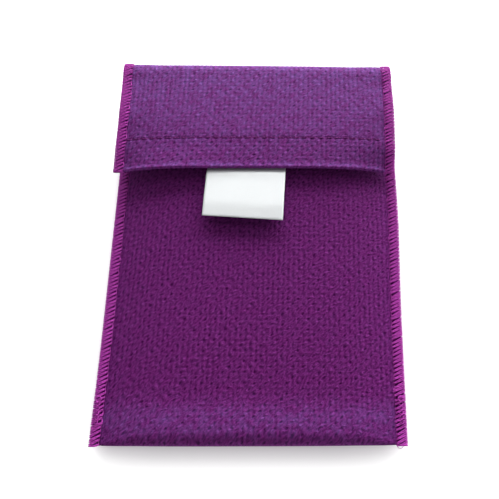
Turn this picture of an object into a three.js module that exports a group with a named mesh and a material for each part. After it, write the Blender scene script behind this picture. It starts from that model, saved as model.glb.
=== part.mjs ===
// Cooling case for insulin pens and vials: a folded cloth cover with overlocked sides and a
// touch-fastened flap, and inside it a quilted pouch whose cells hold dry cooling crystals.
// Millimetres, +Z up. The case lies on its back with the origin under its middle, the top fold
// towards +Y and the flap over the front. Every piece is lofted from sections, as cut cloth is.
import * as THREE from "three";

const { degToRad, lerp, smoothstep } = THREE.MathUtils;

// Cover
const caseWidth = 140; // over the overlocked sides
const caseLength = 190; // bottom fold to top fold
const cloth = 0.7;
const gap = 0.3; // air left between layers that touch
const bodyHeight = 13; // crown of the front panel above the ground
const mouthHeight = 12.4; // its crown at the mouth
const bottomHeight = 12.6; // its crown where the bottom fold begins
const bottomSlope = 45; // length over which it falls to the bottom fold
const crownPower = 4; // how long the crown stays flat before it falls to the seams
const seamLift = 4; // side seams above the ground
const backFlatShare = 0.7; // share of the back's width that lies on the ground
const mouthSetback = 16; // mouth below the top fold
const mouthHem = 12;

// Overlocked edges
const overlockWidth = 4.8;
const thread = 0.4;
const overlockRound = 0.8;

// Top fold and flap
const foldDepth = 8; // reach of the fold beyond the straight part of the back
const foldRise = 2; // crown of the flap at the fold, above the crown of the mouth
const flapLength = 62; // fold to hem
const flapHem = 16;
const flapDroop = 1.2; // fall of the flap's sides at the fold
const flapSideRise = 3; // and their rise between the fold and the hem
const flapSideSlope = 14; // length over which they fall to the hem

// Touch tapes
const hookTape = 0.8;
const loopTape = 0.7;
const tapeWidth = 10;
const tapeLength = 90;

// Label, a ribbon folded in half and sewn in a little askew
const labelWidth = 38.4;
const labelLength = 26.2; // below the hem, mid width
const labelTail = 5; // sewn in above the hem's edge
const labelOffset = -5.2;
const labelTurn = degToRad(2.9);
const labelSpring = 2.9; // its free end stands this far off the front panel
const ribbon = 0.25;
const labelPivotOut = 1.2; // bend of the label outside the hem's edge

// Inner pouch
const pouchSideRoom = 15; // cover's side to pouch's side
const pouchBottomRoom = 9; // cover's bottom fold to pouch's
const pouchMouthRoom = 9; // cover's mouth to pouch's
const slideRoom = 0.4;
const pouchSeam = 4;
const pouchCloth = 0.5;
const liningCloth = 0.4;
const mouthEdging = 2;

// Quilting
const cells = 4; // on each wall
const crystalDepth = 0.8;
const cellMargin = 3; // flat cloth between the outer cells and the side seams
const quiltMargin = 6; // flat cloth above and below the cells
const quiltRise = 10; // length over which a cell swells at its ends
const pillowPower = 2.5;

// Lines and edges that the pieces share
const topY = caseLength / 2;
const bottomY = -topY;
const edgeX = caseWidth / 2;
const clothX = edgeX - thread - gap;
const seamX = edgeX - overlockWidth;
const foldY = topY - foldDepth;
const mouthY = topY - mouthSetback;
const hemY = topY - flapLength;
const tapeLowY = hemY + labelTail + 2 * gap;
const tapeTopY = tapeLowY + tapeWidth;
const hemFold = cloth + gap / 2; // radius of a hem's turned edge
const seamTop = seamLift + 3 * cloth + 2 * gap; // back, front and turned-in hem at a side seam
const stack = 2 * cloth + hookTape + loopTape + 4 * gap; // front panel to the flap's outside, at the tapes

const group = new THREE.Group();
group.name = "insulin_cooling_case";

const materials = {
  cover_cloth: new THREE.MeshStandardMaterial({ color: 0x64266a, roughness: 0.85, metalness: 0 }),
  overlock_thread: new THREE.MeshStandardMaterial({ color: 0x933f8f, roughness: 0.7, metalness: 0 }),
  label_satin: new THREE.MeshStandardMaterial({ color: 0xf0f3f4, roughness: 0.55, metalness: 0 }),
  hook_tape: new THREE.MeshStandardMaterial({ color: 0x3a1640, roughness: 0.8, metalness: 0 }),
  loop_tape: new THREE.MeshStandardMaterial({ color: 0x431a4a, roughness: 0.95, metalness: 0 }),
  pouch_cloth: new THREE.MeshStandardMaterial({ color: 0x2b2a30, roughness: 0.9, metalness: 0 }),
  pouch_lining: new THREE.MeshStandardMaterial({ color: 0x8d9096, roughness: 0.6, metalness: 0 }),
  crystals: new THREE.MeshStandardMaterial({ color: 0xe4e9ec, roughness: 0.4, metalness: 0 }),
};

// Joins sections of equal length in order and closes both ends. A section is a pair of lines,
// outer and inner, that run side by side.
function loft(sections) {
  const count = sections[0].outer.length;
  const ring = 2 * count;
  const last = (sections.length - 1) * ring;
  const points = sections.flatMap(({ outer, inner }) => [...outer, ...inner.toReversed()]);
  const index = [];
  const quad = (a, b, c, d) => index.push(a, b, c, a, c, d);
  for (let start = 0; start < last; start += ring) {
    for (let k = 0; k < ring; k++) {
      const next = (k + 1) % ring;
      quad(start + k, start + next, start + ring + next, start + ring + k);
    }
  }
  for (let k = 0; k + 1 < count; k++) {
    const corners = [k, k + 1, ring - 2 - k, ring - 1 - k];
    quad(...corners.toReversed());
    quad(...corners.map((corner) => last + corner));
  }
  const geometry = new THREE.BufferGeometry().setFromPoints(points);
  geometry.setIndex(index);
  return geometry;
}

// A line moved sideways by the same distance everywhere, towards the inside of the piece.
function inset(line, distance) {
  const normal = (from, to) => {
    const way = to.clone().sub(from).normalize();
    return new THREE.Vector2(way.y, -way.x);
  };
  return line.map((point, i) => {
    const before = i > 0 ? normal(line[i - 1], point) : normal(point, line[i + 1]);
    const after = i + 1 < line.length ? normal(point, line[i + 1]) : before;
    const middle = before.clone().add(after).normalize();
    return point.clone().addScaledVector(middle, -distance / middle.dot(before));
  });
}

// A sheet of cloth: its outer face is a line in the YZ plane at each station across the width.
function sheet(stations, line, thickness) {
  return loft(
    stations.map((x) => {
      const face = line(x);
      const place = (point) => new THREE.Vector3(x, point.x, point.y);
      return { outer: face.map(place), inner: inset(face, thickness).map(place) };
    }),
  );
}

// A flat-sided piece between an upper and a lower surface, from station to station.
function slab(stations, ys, upper, lower) {
  return loft(
    stations.map((x) => ({
      outer: ys.map((y) => new THREE.Vector3(x, y, upper(x, y))),
      inner: ys.map((y) => new THREE.Vector3(x, y, lower(x, y))),
    })),
  );
}

// Thread wrapped round the right-hand edge of a stack of layers. The line runs along the outer
// face of the stack, in the YZ plane, and the layers lie under it to the given depth.
function overlock(line, depth, outside, width) {
  const reach = gap + thread;
  const tip = outside - width;
  const section = [
    new THREE.Vector2(tip, -depth - reach),
    ...arc(outside - overlockRound, overlockRound - depth - reach, overlockRound, -90, 0, 2),
    ...arc(outside - overlockRound, reach - overlockRound, overlockRound, 0, 90, 2),
    new THREE.Vector2(tip, reach),
  ];
  const hollow = inset(section, thread);
  const raised = inset(line, -1);
  return loft(
    line.map((point, i) => {
      const up = raised[i].clone().sub(point);
      const place = ({ x, y }) => {
        const { x: along, y: height } = point.clone().addScaledVector(up, y);
        return new THREE.Vector3(x, along, height);
      };
      return { outer: section.map(place), inner: hollow.map(place) };
    }),
  );
}

function mirrored(geometry) {
  const other = geometry.clone().scale(-1, 1, 1);
  other.setIndex(Array.from(geometry.index.array).reverse());
  return other;
}

function arc(centreX, centreY, radius, fromDegrees, toDegrees, pieces) {
  return steps(fromDegrees, toDegrees, pieces).map((degrees) => {
    const angle = degToRad(degrees);
    return new THREE.Vector2(centreX + radius * Math.cos(angle), centreY + radius * Math.sin(angle));
  });
}

function steps(from, to, pieces) {
  return Array.from({ length: pieces + 1 }, (_, i) => lerp(from, to, i / pieces));
}

function add(name, geometry, material) {
  geometry.computeVertexNormals();
  const mesh = new THREE.Mesh(geometry, materials[material]);
  mesh.name = name;
  group.add(mesh);
}

// Shapes of the cover: 1 over the middle, falling to 0 at the half width
function crown(x, halfWidth) {
  return 1 - Math.min(Math.abs(x) / halfWidth, 1) ** crownPower;
}

function backZ(x) {
  return seamLift * smoothstep(Math.abs(x), backFlatShare * seamX, seamX);
}

function crownHeight(y) {
  const atMouth = smoothstep(y, 0, mouthY);
  const atBottom = 1 - smoothstep(y, bottomY + bodyHeight / 2, bottomY + bodyHeight / 2 + bottomSlope);
  return bodyHeight - (bodyHeight - mouthHeight) * atMouth - (bodyHeight - bottomHeight) * atBottom;
}

function frontZ(x, y) {
  return lerp(seamTop, crownHeight(y), crown(x, seamX));
}

function flapZ(x, y) {
  const atFold = mouthHeight + foldRise - flapDroop * (1 - crown(x, seamX));
  const atTapes = frontZ(x, y) + stack;
  const aboveHem = smoothstep(y, hemY, hemY + flapSideSlope);
  const belowFold = 1 - smoothstep(y, (foldY + hemY) / 2, foldY);
  const rise = flapSideRise * aboveHem * belowFold * (1 - crown(x, seamX));
  return lerp(atTapes, atFold, smoothstep(y, tapeTopY, foldY)) + rise;
}

// Stations across the width lie closer together towards the seams, where the panels turn down
const across = [
  ...steps(-90, 90, 14).map((degrees) => seamX * Math.sin(degToRad(degrees))),
  ...[-clothX, clothX, -tapeLength / 2, tapeLength / 2],
].sort((a, b) => a - b);
const tapeAcross = across.filter((x) => Math.abs(x) <= tapeLength / 2);

// The cover's cloth: hem turned in at the mouth, front panel, bottom fold, back panel
const coverCloth = sheet(
  across,
  (x) => {
    const hemCentreY = mouthY - hemFold;
    const hem = steps(mouthY - mouthHem, hemCentreY, 2).map(
      (y) => new THREE.Vector2(y, frontZ(x, y) - 2 * hemFold),
    );
    const mouth = arc(hemCentreY, frontZ(x, hemCentreY) - hemFold, hemFold, -90, 90, 4);
    const foldTop = frontZ(x, bottomY);
    const foldRadius = (foldTop - backZ(x)) / 2;
    const foldCentreY = bottomY + foldRadius;
    const front = steps(hemCentreY, foldCentreY, 10).map((y) => new THREE.Vector2(y, frontZ(x, y)));
    const bottomFold = arc(foldCentreY, foldTop - foldRadius, foldRadius, 90, 270, 8);
    const back = steps(foldCentreY, foldY - gap, 3).map((y) => new THREE.Vector2(y, backZ(x)));
    return [...hem.slice(0, -1), ...mouth, ...front.slice(1, -1), ...bottomFold, ...back.slice(1)];
  },
  cloth,
);
add("cover_cloth", coverCloth, "cover_cloth");

// The top fold: the back's cloth turning over into the flap, overlocked round both ends
function foldLine(x) {
  const low = backZ(x);
  const half = (flapZ(x, foldY) - low) / 2;
  const reach = foldDepth - gap - thread;
  return arc(0, 0, 1, -90, 90, 8).map(
    (point) => new THREE.Vector2(foldY + reach * point.x, low + half + half * point.y),
  );
}

add("top_fold", sheet(across, foldLine, cloth), "cover_cloth");
const foldEdge = overlock(foldLine(edgeX), cloth, edgeX, overlockWidth);
add("fold_edge_right", foldEdge, "overlock_thread");
add("fold_edge_left", mirrored(foldEdge), "overlock_thread");

// The flap's cloth: from the fold down to the hem, with its edge turned under
const flapCloth = sheet(
  across,
  (x) => {
    const turnY = hemY + hemFold;
    const outside = steps(foldY - gap, turnY, 8).map((y) => new THREE.Vector2(y, flapZ(x, y)));
    const turn = arc(turnY, flapZ(x, turnY) - hemFold, hemFold, 90, 270, 4);
    const under = steps(turnY, hemY + flapHem, 3).map(
      (y) => new THREE.Vector2(y, flapZ(x, y) - 2 * hemFold),
    );
    return [...outside.slice(0, -1), ...turn, ...under.slice(1)];
  },
  cloth,
);
add("flap_cloth", flapCloth, "cover_cloth");

// Overlocked sides of the pocket and of the flap
const sideLine = [foldY - gap, bottomY].map((y) => new THREE.Vector2(y, seamTop));
const sideSeam = overlock(sideLine, seamTop - seamLift, edgeX, overlockWidth);
add("side_seam_right", sideSeam, "overlock_thread");
add("side_seam_left", mirrored(sideSeam), "overlock_thread");

const flapLine = steps(foldY - gap, hemY, 8).map((y) => new THREE.Vector2(y, flapZ(edgeX, y)));
const flapEdge = overlock(flapLine, 2 * hemFold, edgeX, overlockWidth);
add("flap_edge_right", flapEdge, "overlock_thread");
add("flap_edge_left", mirrored(flapEdge), "overlock_thread");

// Touch tapes: loop on the front panel, hook under the flap's hem
const tapeYs = steps(tapeTopY, tapeLowY, 2);
const loopFace = (x, y) => frontZ(x, y) + gap + loopTape;
const hookFace = (x, y) => loopFace(x, y) + gap;
const loop = slab(tapeAcross, tapeYs, loopFace, (x, y) => loopFace(x, y) - loopTape);
add("loop_tape", loop, "loop_tape");
const hook = slab(tapeAcross, tapeYs, (x, y) => hookFace(x, y) + hookTape, hookFace);
add("hook_tape", hook, "hook_tape");

// The label: two layers of ribbon that leave the hem together and spring off the front panel
const labelHalf = ribbon + gap / 2;
const pivotY = hemY - labelPivotOut;
const labelHemLift = stack - 2 * hemFold - gap - labelHalf;
const labelRestLift = labelSpring + gap + labelHalf;
const askew = Math.tan(labelTurn);
const labelAcross = steps(-labelWidth / 2, labelWidth / 2, 4);
const labelX = (s, y) => labelOffset + s - (hemY - y) * askew;

const labelTab = loft(
  labelAcross.map((s) => {
    const endY = hemY - labelLength - s * askew;
    const turnY = endY + labelHalf;
    const middle = (y) => {
      const lift = lerp(labelRestLift, labelHemLift, smoothstep(y, turnY, pivotY));
      return frontZ(labelX(s, y), y) + lift;
    };
    const front = steps(pivotY, turnY, 6).map((y) => new THREE.Vector2(y, middle(y) + labelHalf));
    const turn = arc(turnY, middle(turnY), labelHalf, 90, 270, 4);
    const behind = steps(turnY, pivotY, 6).map((y) => new THREE.Vector2(y, middle(y) - labelHalf));
    const face = [...front.slice(0, -1), ...turn, ...behind.slice(1)];
    const place = (point) => new THREE.Vector3(labelX(s, point.x), point.x, point.y);
    return { outer: face.map(place), inner: inset(face, ribbon).map(place) };
  }),
);
add("label_tab", labelTab, "label_satin");

const tailTop = (x, y) => frontZ(x, y) + labelHemLift + labelHalf;
const labelTailPiece = slab(
  labelAcross.map((s) => labelX(s, hemY)),
  steps(hemY + labelTail, pivotY + 2 * gap, 2),
  tailTop,
  (x, y) => tailTop(x, y) - 2 * labelHalf,
);
add("label_tail", labelTailPiece, "label_satin");

// Inner pouch: a lined, quilted strip folded at the bottom. It slides out through the mouth, so
// its section stays below the mouth's hem all the way along.
const pouchEdgeX = edgeX - pouchSideRoom;
const pouchClothX = pouchEdgeX - thread - gap;
const pouchPanelX = pouchEdgeX - pouchSeam;
const pouchBottomY = bottomY + pouchBottomRoom;
const pouchMouthY = mouthY - pouchMouthRoom;
const mouthRoom = (x) => frontZ(x, mouthY) - 2 * hemFold - slideRoom;
const groundRoom = (x) => backZ(x) + cloth + gap;
const pouchSeamZ = (mouthRoom(pouchEdgeX) + groundRoom(pouchEdgeX)) / 2;
const wall = liningCloth + gap + pouchCloth; // at a line of quilting
const pillow = crystalDepth + gap;
const ceiling = mouthRoom(0) - wall - pillow;
const floor = groundRoom(0) + wall + pillow;

const cellWidth = (2 * (pouchPanelX - cellMargin)) / cells;
const cellStart = (cell) => (cell - cells / 2) * cellWidth;
const cellShare = (k) => (1 - Math.cos((Math.PI * k) / 4)) / 2;
const quilted = Array.from({ length: 4 * cells }, (_, i) => {
  return cellStart(Math.floor(i / 4)) + cellWidth * cellShare(i % 4);
});
const pouchAcross = [
  ...[-pouchClothX, -pouchPanelX],
  ...quilted,
  ...[cellStart(cells), pouchPanelX, pouchClothX],
];

function ceilingZ(x) {
  return lerp(pouchSeamZ + gap / 2, ceiling, crown(x, pouchPanelX));
}

function floorZ(x) {
  return lerp(pouchSeamZ - gap / 2, floor, crown(x, pouchPanelX));
}

// How far a cell is swollen: full along its middle, none at the quilting lines and the ends
function swell(x, y) {
  const share = x / cellWidth + cells / 2;
  if (share <= 0 || share >= cells) return 0;
  const rise = Math.min(quiltTopY - y, y - quiltBottomY) / quiltRise;
  return Math.max(0, Math.min(1, rise)) * (1 - Math.abs(2 * (share % 1) - 1) ** pillowPower);
}

const pouchFold = (x) => (ceilingZ(x) - floorZ(x)) / 2 + wall;
const quiltTopY = pouchMouthY - quiltMargin;
const quiltBottomY = pouchBottomY + pouchFold(0) + quiltMargin;
const shellTop = (x, y) => ceilingZ(x) + wall + pillow * swell(x, y);
const shellBottom = (x, y) => floorZ(x) - wall - pillow * swell(x, y);

const pouchShell = sheet(
  pouchAcross,
  (x) => {
    const radius = pouchFold(x);
    const centreY = pouchBottomY + radius;
    const middleZ = (ceilingZ(x) + floorZ(x)) / 2;
    const ys = [pouchMouthY, quiltTopY, quiltTopY - quiltRise, quiltBottomY + quiltRise, quiltBottomY];
    const front = ys.map((y) => new THREE.Vector2(y, shellTop(x, y)));
    const bottom = arc(centreY, middleZ, radius, 90, 270, 6);
    const back = ys.toReversed().map((y) => new THREE.Vector2(y, shellBottom(x, y)));
    return [...front, ...bottom, ...back];
  },
  pouchCloth,
);
add("pouch_cloth", pouchShell, "pouch_cloth");

const pouchLining = sheet(
  pouchAcross,
  (x) => {
    const radius = pouchFold(x) - pouchCloth - gap;
    const centreY = pouchBottomY + pouchFold(x);
    const middleZ = (ceilingZ(x) + floorZ(x)) / 2;
    return [
      new THREE.Vector2(pouchMouthY, middleZ + radius),
      ...arc(centreY, middleZ, radius, 90, 270, 6),
      new THREE.Vector2(pouchMouthY, middleZ - radius),
    ];
  },
  liningCloth,
);
add("pouch_lining", pouchLining, "pouch_lining");

// Dry crystals, one layer to a cell, between the lining and the swollen cloth
const crystalYs = steps(quiltTopY - 0.75 * quiltRise, quiltBottomY + 0.75 * quiltRise, 1);
const fullYs = [crystalYs[0], quiltTopY - quiltRise, quiltBottomY + quiltRise, crystalYs[1]];
for (let cell = 0; cell < cells; cell++) {
  const stations = [1, 2, 3].map((k) => cellStart(cell) + cellWidth * cellShare(k));
  const frontCrystals = slab(
    stations,
    fullYs,
    (x, y) => shellTop(x, y) - pouchCloth - gap,
    (x) => ceilingZ(x) + liningCloth + gap,
  );
  add(`front_crystals_${cell + 1}`, frontCrystals, "crystals");
  const backCrystals = slab(
    stations,
    fullYs,
    (x) => floorZ(x) - liningCloth - gap,
    (x, y) => shellBottom(x, y) + pouchCloth + gap,
  );
  add(`back_crystals_${cell + 1}`, backCrystals, "crystals");
}

// Overlocked sides and bound mouth of the pouch
const pouchSeamTop = pouchSeamZ + gap / 2 + wall;
const pouchLine = [pouchMouthY, pouchBottomY].map((y) => new THREE.Vector2(y, pouchSeamTop));
const pouchSide = overlock(pouchLine, 2 * wall + gap, pouchEdgeX, pouchSeam);
add("pouch_seam_right", pouchSide, "overlock_thread");
add("pouch_seam_left", mirrored(pouchSide), "overlock_thread");

const edgingAcross = pouchAcross.slice(1, -1);
const edging = (bottom) =>
  loft(
    edgingAcross.map((x) => {
      const back = pouchMouthY + gap;
      const nose = back + mouthEdging - wall / 2;
      const place = (point) => new THREE.Vector3(x, point.x, point.y);
      const round = arc(nose, bottom(x) + wall / 2, wall / 2, -90, 90, 4);
      return { outer: round.map(place), inner: round.map((p) => new THREE.Vector3(x, back, p.y)) };
    }),
  );
add("pouch_mouth_front", edging(ceilingZ), "overlock_thread");
add("pouch_mouth_back", edging((x) => floorZ(x) - wall), "overlock_thread");

export default group;
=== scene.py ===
"""Looks of the insulin cooling case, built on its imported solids.

The cover is one strip of brick-woven cloth with overlocked sides. Its flap carries a bare satin
label, and a quilted pouch of cooling crystals slides out from under it. Lengths are in metres.
"""

import bpy
import numpy as np
from bpy.props import FloatProperty, FloatVectorProperty, IntProperty, PointerProperty
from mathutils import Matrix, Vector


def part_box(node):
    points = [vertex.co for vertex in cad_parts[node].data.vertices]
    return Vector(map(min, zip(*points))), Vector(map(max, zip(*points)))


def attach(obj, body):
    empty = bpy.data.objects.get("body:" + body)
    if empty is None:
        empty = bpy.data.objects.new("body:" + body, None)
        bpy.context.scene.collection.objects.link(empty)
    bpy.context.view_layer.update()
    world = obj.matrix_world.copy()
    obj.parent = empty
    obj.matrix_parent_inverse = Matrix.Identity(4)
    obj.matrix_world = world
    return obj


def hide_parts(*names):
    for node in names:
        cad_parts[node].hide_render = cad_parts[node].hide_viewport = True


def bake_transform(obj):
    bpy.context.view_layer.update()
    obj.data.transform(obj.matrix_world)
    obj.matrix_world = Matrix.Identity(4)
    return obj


bl_info = {
    "name": "Insulin Cooling Case",
    "version": (1, 0, 0),
    "blender": (4, 5, 0),
    "location": "3D View > Sidebar > Cooling Case",
    "description": "Dresses the packed cooling case with cloth, thread, label, tapes and pouch",
    "category": "Object",
}

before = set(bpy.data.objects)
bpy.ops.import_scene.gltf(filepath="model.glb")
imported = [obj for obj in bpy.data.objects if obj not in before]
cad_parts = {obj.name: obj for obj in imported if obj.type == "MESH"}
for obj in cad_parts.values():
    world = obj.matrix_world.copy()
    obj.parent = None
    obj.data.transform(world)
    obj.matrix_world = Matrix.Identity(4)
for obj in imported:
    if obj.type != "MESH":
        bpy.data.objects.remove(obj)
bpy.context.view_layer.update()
MM = 0.001


def low(node, axis):
    """Lowest coordinate of a solid on an axis."""
    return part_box(node)[0]["xyz".index(axis)]


def high(node, axis):
    """Highest coordinate of a solid on an axis."""
    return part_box(node)[1]["xyz".index(axis)]


# Cover: places from the solids, and how the cloth lies between them
GAP = 0.3 * MM
REACH = 0.7 * MM  # thread stands this far off the cloth it wraps
EDGE_X = high("side_seam_right", "x")
SEAM_X = low("side_seam_right", "x")
CLOTH_X = high("cover_cloth", "x")
BOTTOM_Y = low("cover_cloth", "y")
FOLD_Y = high("cover_cloth", "y") + GAP
FOLD_TIP_Y = high("top_fold", "y")
HEM_Y = low("flap_cloth", "y") - 0.5 * MM  # cloth stands a little proud of the solid
BODY_Z = high("cover_cloth", "z")
FOLD_Z = high("top_fold", "z")
SEAM_TOP_Z = high("side_seam_right", "z") - REACH
SEAM_LOW_Z = low("side_seam_right", "z") + REACH
FLAP_EDGE_Z = high("fold_edge_right", "z") - REACH
HEM_TURN = 0.85 * MM  # half the thickness of a turned hem
STACK = low("flap_edge_right", "z") + 2 * HEM_TURN + REACH - SEAM_TOP_Z
FLAP_SIDE_RISE = 3 * MM
FLAP_SIDE_SLOPE = 14 * MM
SEAM_PRESS = 0.5 * MM
FOLD_SHOULDER = 83  # degrees round the fold at which the flap takes over
BLUNTNESS = 0.77  # power of the sine and cosine round a fold, 1 for an ellipse
MOUTH_Y = FOLD_Y - 8 * MM
MOUTH_Z = FOLD_Z - 2 * MM
MOUTH_HEM = 12 * MM
BOTTOM_Z = BODY_Z - 0.4 * MM
BOTTOM_SLOPE = 45 * MM
RIDGE = 0.9 * MM  # swell of the front panel above the bottom fold
RIDGE_SLOPE = 16 * MM
TAPE_TOP_Y = high("hook_tape", "y")
FLAP_HEM = 16.2 * MM  # hem edge to its row of stitches
HEM_ALLOWANCE = 1.5 * MM  # cloth beyond that row
BACK_FLAT = 0.7  # share of the half width over which the back lies on the ground
FLAP_FALL = 1.25  # power with which the flap falls from the tapes to the top fold
FLAP_EDGE_CLOTHS = 1.2  # depth of the flap's overlocked edge, in cloths
PRESS_INSIDE = 1.2 * MM  # needle line to where the overlock starts to press the cloth
PRESS_OUTSIDE = 0.4 * MM  # needle line to where it presses in full
STATION_TURN = 0.43 * np.pi  # angle whose sine stands for the half width
SIDES = (("left", -1), ("right", 1))
UP = np.array([0, 0, 1.0])

# Bows of the sides: lengths, and heights as shares of the bow setting
END_BOW = 25 * MM
MIDDLE_BOW = 30 * MM
MIDDLE_BOW_Y = 10 * MM
LEFT_TOP_BOW = 1.95
LEFT_BOTTOM_BOW = 0.55
RIGHT_TOP_BOW = 1.17
RIGHT_MIDDLE_BOW = 0.88

# Hems and their rows of stitches
HEM_NOSE = 0.45 * MM  # depth of the flap's rounded edge
ROLL_START = 0.5 * MM  # rounded edge to where its swelling starts to fall
ROLL_STOP = 2.1 * MM
ROW_MARGIN = 2 * MM  # finer mesh on either side of a row
FURROW = 0.2 * MM  # depth to which the row pulls the flap in
FURROW_WIDTH = 0.7 * MM
HEM_ROW_SINK = 0.1 * MM
HEM_THREAD = 0.24 * MM  # radius
MOUTH_THREAD = 0.22 * MM

# Weave of the cover that is modelled on the flap, and the bluish sheen painted into its colour as a share of
# a pale colour
FLAP_RELIEF = 0.3  # share of the relief setting
PIT_START = 0.2
PIT_STOP = 0.95
FLOAT_PAINTED_SHEEN = 0.8  # painted sheen added where a float is on top
LEAST_PAINTED_SHEEN = 0.02
# Painted sheen that grows from the hem to the top fold, a painted highlight along the hem's roll and a
# painted sheen band above the bottom fold
HEM_PAINTED_SHEEN = 0.06
FOLD_PAINTED_SHEEN = 0.16
EDGE_PAINTED_HIGHLIGHT = 0.1
EDGE_HIGHLIGHT_Y = HEM_Y + 1.6 * MM
EDGE_HIGHLIGHT_LENGTH = 0.8 * MM
BOTTOM_PAINTED_SHEEN = 0.09
BOTTOM_SHEEN_Y = BOTTOM_Y + 11 * MM
BOTTOM_SHEEN_LENGTH = 7 * MM

# Label
FOOT_ABOVE = 1.5 * MM  # from the hem's edge, where the label starts to rise
FOOT_BELOW = 2.5 * MM
FOOT_SHARE = 0.55  # share of its spring that the label takes there
CURL_ABOVE = 8 * MM  # from the label's end, where it starts to curl
CURL_BELOW = 4 * MM

# Tapes, with a hook's course from its foot to its tip
TAPE_BASE = 0.35 * MM
LOOP_TONE = 0.5  # of the cloth's colour
HOOK_TONE = 0.4
PILE_LOOPS = 1500
PILE_SPREAD = 0.98  # share of the tape's half length
PILE_MARGIN = 0.4 * MM
PILE_REACH = 0.5 * MM
PILE_RISE = 0.34 * MM
PILE_SINK = 0.05 * MM
PILE_THREAD = 0.07 * MM
HOOK_COLUMNS = 64
HOOK_ROWS = 8
HOOK_SPREAD = 0.97
HOOK_MARGIN = 0.8 * MM
HOOK_REACH = np.array([0, 0, 0.05, 0.25, 0.42]) * MM
HOOK_DROP = np.array([-0.05, 0.2, 0.36, 0.42, 0.3]) * MM
HOOK_THREAD = 0.09 * MM

# Pouch: places from the solids, and what fills it
POUCH_X = high("pouch_cloth", "x")
POUCH_PANEL_X = low("pouch_seam_right", "x")
POUCH_EDGE_X = high("pouch_seam_right", "x")
POUCH_BOTTOM_Y = low("pouch_cloth", "y")
POUCH_MOUTH_Y = high("pouch_cloth", "y")
POUCH_SEAM_Z = (low("pouch_seam_right", "z") + high("pouch_seam_right", "z")) / 2
POUCH_CLOTH = 0.5 * MM
LINING = 0.4 * MM
CEILING_Z = high("pouch_lining", "z") - LINING
FLOOR_Z = low("pouch_lining", "z") + LINING
WALL = LINING + GAP + POUCH_CLOTH
PILLOW = high("pouch_cloth", "z") - CEILING_Z - WALL
CELLS = 4
CELL_WIDTH = 2 * (POUCH_PANEL_X - 3 * MM) / CELLS
QUILT_TOP_Y = POUCH_MOUTH_Y - 6 * MM
QUILT_BOTTOM_Y = POUCH_BOTTOM_Y + (CEILING_Z - FLOOR_Z) / 2 + WALL + 6 * MM
QUILT_RISE = 10 * MM
QUILT_THREAD = 0.2 * MM  # radius
QUILT_STITCH = 3 * MM
PILLOW_POWER = 2.5  # power with which a cell falls to its quilting
GRAIN = 0.18 * MM
LEAST_BED = 0.25 * MM  # least thickness of the crystals, grain included
CRYSTAL_COLOUR = (0.8, 0.84, 0.86)

# Added to the seed for each kind of piece
HEM_SEED = 1
FLAP_SEED = 5
SIDE_SEED = 10
TAPE_SEED = 40
QUILT_SEED = 60
POUCH_SEED = 80
CRYSTAL_SEED = 100


def length_property(name, description, default):
    """Setting for a length in metres."""
    return FloatProperty(name=name, description=description, default=default, unit="LENGTH")


def number_property(name, description, default):
    """Setting for a plain number."""
    return FloatProperty(name=name, description=description, default=default)


def power_property(name, description, default):
    """Setting for a lamp's power in watts."""
    return FloatProperty(name=name, description=description, default=default, unit="POWER")


def colour_property(name, description, default):
    """Setting for a colour."""
    return FloatVectorProperty(name=name, description=description, default=default, subtype="COLOR")


class CaseSettings(bpy.types.PropertyGroup):
    """Sizes and colours that a user would change."""

    cloth: length_property("Cloth", "Thickness of the cover's cloth", 0.7 * MM)
    repeat: length_property("Weave Repeat", "Distance between pits of the weave", 4.7 * MM)
    relief: length_property("Relief", "Depth of the weave's pits", 0.3 * MM)
    pitch: length_property("Overlock Pitch", "Distance between overlock stitches", 1.8 * MM)
    thread: length_property("Thread", "Thickness of the overlock thread", 0.58 * MM)
    bead: length_property("Hem Roll", "How far the hem's edge swells", 0.26 * MM)
    stitch: length_property("Hem Stitch", "Length of a hem stitch", 4 * MM)
    cover_lean: number_property("Cover Lean", "Sideways shift of the cover per length below the fold", 0.011)
    cover_slope: number_property("Bottom Slope", "Slope of the bottom fold across the width", 0.0273)
    flap_lean: number_property("Flap Lean", "Sideways shift of the flap per length below the fold", 0.039)
    flap_slope: number_property("Hem Slope", "Slope of the flap's hem across the width", 0.014)
    fold_slope: number_property("Fold Slope", "Slope of the top fold across the width", -0.008)
    corner_lift: length_property("Corner Lift", "How far the hem's left corner rises", 1.5 * MM)
    bow: length_property("Bow", "How far the sides stray from straight", 1 * MM)
    label_turn: FloatProperty(
        name="Label Turn", description="How far the label is sewn askew", default=0.0506, subtype="ANGLE"
    )
    spring: length_property("Label Spring", "How far the label's end rises from the hem", 2.4 * MM)
    curl: length_property("Label Curl", "How far the label's end curls down", 0.7 * MM)
    ribbon: length_property("Ribbon", "Thickness of the label's ribbon", 0.25 * MM)
    seed: IntProperty(name="Seed", description="Chooses how the threads stray", default=7)
    cloth_colour: colour_property("Cloth", "Crowns of the weave", (0.176, 0.0185, 0.166))
    # The pits' colour is painted shade in the weave's hollows
    pit_shade_colour: colour_property("Pits", "Weave pits, darkened as painted shade", (0.042, 0.0, 0.04))
    # Pale bluish colour mixed into the cloth as painted sheen and painted highlights
    sheen_paint_colour: colour_property("Painted Sheen", "Sheen and highlights painted into the cloth's colour", (0.3, 0.22, 0.72))
    thread_colour: colour_property("Thread", "Overlock thread", (0.5, 0.058, 0.45))
    sewing_colour: colour_property("Sewing Thread", "Stitched rows", (0.2, 0.022, 0.19))
    label_colour: colour_property("Label", "Satin ribbon", (0.73, 0.755, 0.765))
    pouch_colour: colour_property("Pouch", "Cloth of the pouch", (0.03, 0.029, 0.037))
    lining_colour: colour_property("Lining", "Lining of the pouch", (0.29, 0.3, 0.33))
    key_light: power_property("Key Light", "Power of the far lamp", 362)
    high_light: power_property("High Light", "Power of the high lamp", 28)
    fill_light: power_property("Fill Light", "Power of the near lamp", 34)
    sky: number_property("Sky", "Strength of the light from all round", 0.13)


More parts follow.
